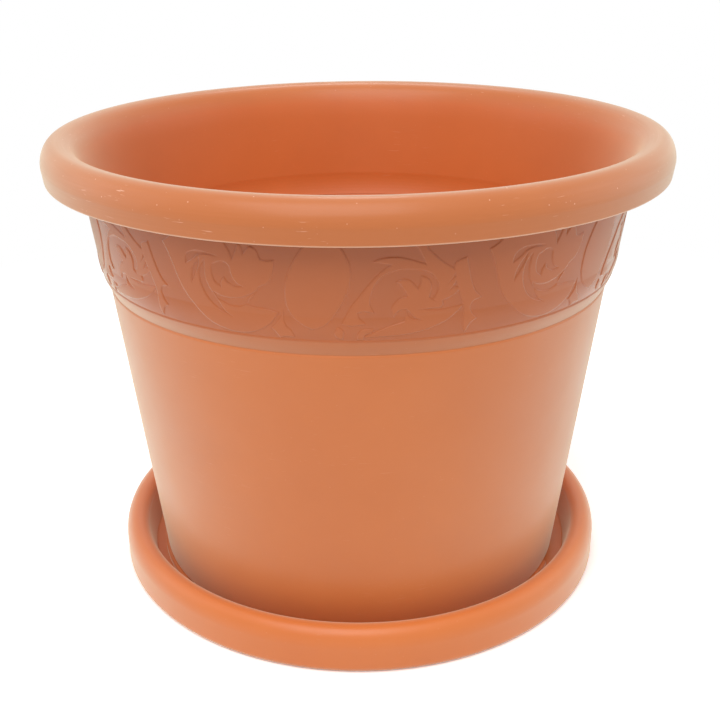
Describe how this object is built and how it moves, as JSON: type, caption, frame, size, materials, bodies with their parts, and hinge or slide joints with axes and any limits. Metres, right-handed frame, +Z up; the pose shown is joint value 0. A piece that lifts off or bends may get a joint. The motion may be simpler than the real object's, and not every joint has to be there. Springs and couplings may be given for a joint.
{
  "type": "flower pot",
  "caption": "Round floor planter with a rolled rim, a raised scroll frieze under it and a tapered body with drain holes, standing in a matching loose saucer with a rolled lip.",
  "frame": {"origin": "on the ground, under the middle of the saucer", "axes": "+Z up, along the pot's axis; the side seen in the picture faces -Y; +X to the right as seen from there"},
  "size_m": [0.3999, 0.4, 0.3015],
  "materials": {
    "terracotta_plastic": "satin, moulded"
  },
  "bodies": {
    "saucer": {"saucer": "terracotta_plastic"},
    "pot": {"pot": "terracotta_plastic"}
  },
  "joints": [
    {"name": "pot_lift", "type": "slide", "parent": "saucer", "child": "pot", "axis": [0, 0, 1], "range_m": [0, 0.06]}
  ]
}
